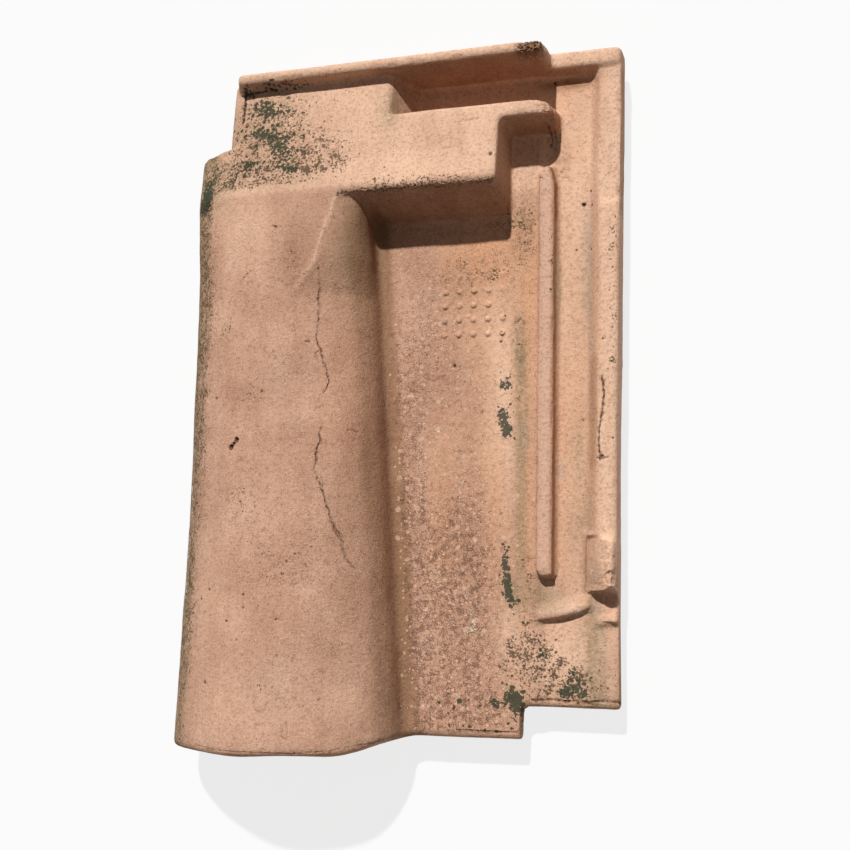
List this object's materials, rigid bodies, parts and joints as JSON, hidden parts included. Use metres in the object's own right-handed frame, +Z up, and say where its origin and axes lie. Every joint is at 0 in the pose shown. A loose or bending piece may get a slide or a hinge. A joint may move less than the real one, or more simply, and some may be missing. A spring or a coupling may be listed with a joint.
{
  "type": "roof tile",
  "caption": "Fired clay roof tile with a rounded roll, flat pan, side lock and a raised head block with a rim, for a roof's top course.",
  "frame": {"origin": "middle of the tile's footprint, on the plane that its nibs and foot rib stand on", "axes": "+X from the roll towards the side lock, +Y from the foot to the head, +Z up from the laid tile"},
  "size_m": [0.297, 0.4606, 0.0834],
  "materials": {
    "fired_clay": "rough fired clay, weathered, with lichen"
  },
  "bodies": {
    "root": {"roof_tile": "fired_clay"}
  },
  "joints": []
}
